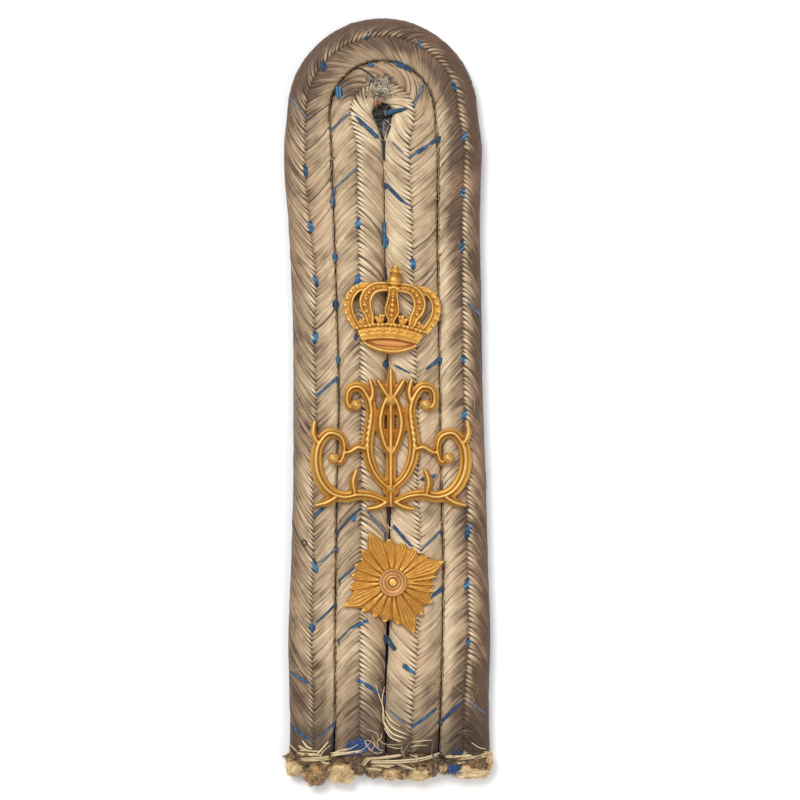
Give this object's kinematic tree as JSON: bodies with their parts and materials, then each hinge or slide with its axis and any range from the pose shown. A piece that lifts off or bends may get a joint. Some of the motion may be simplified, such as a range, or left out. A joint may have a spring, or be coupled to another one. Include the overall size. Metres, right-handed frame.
{
  "type": "shoulder board epaulette",
  "caption": "Shoulder board of padded braid cords in a double U, with a buttonhole at the round end, a raw cut end, and a gilt crown, scrollwork ornament and rank star pinned on.",
  "frame": {"origin": "centre of the bounding box, on the surface that the board lies on", "axes": "+Y from the cut end to the round head, +Z out of the face that carries the badges"},
  "size_m": [0.0342, 0.1269, 0.0068],
  "materials": {
    "braid": "silky flat braid in taupe and cream with woven blue flecks, browned by age",
    "wool": "matte blue wool cloth",
    "cotton": "loose yellowed cotton wadding",
    "gilt": "satin gilt with darker recesses",
    "boss_metal": "worn gilt with a coppery tone"
  },
  "bodies": {
    "root": {"outer_cord": "braid", "inner_cord": "braid", "underlay": "wool", "filling_outer_left": "cotton", "filling_inner_left": "cotton", "filling_inner_right": "cotton", "filling_outer_right": "cotton", "crown_badge": "gilt", "scroll_badge": "gilt", "rank_star": "gilt", "star_boss": "boss_metal"}
  },
  "joints": []
}
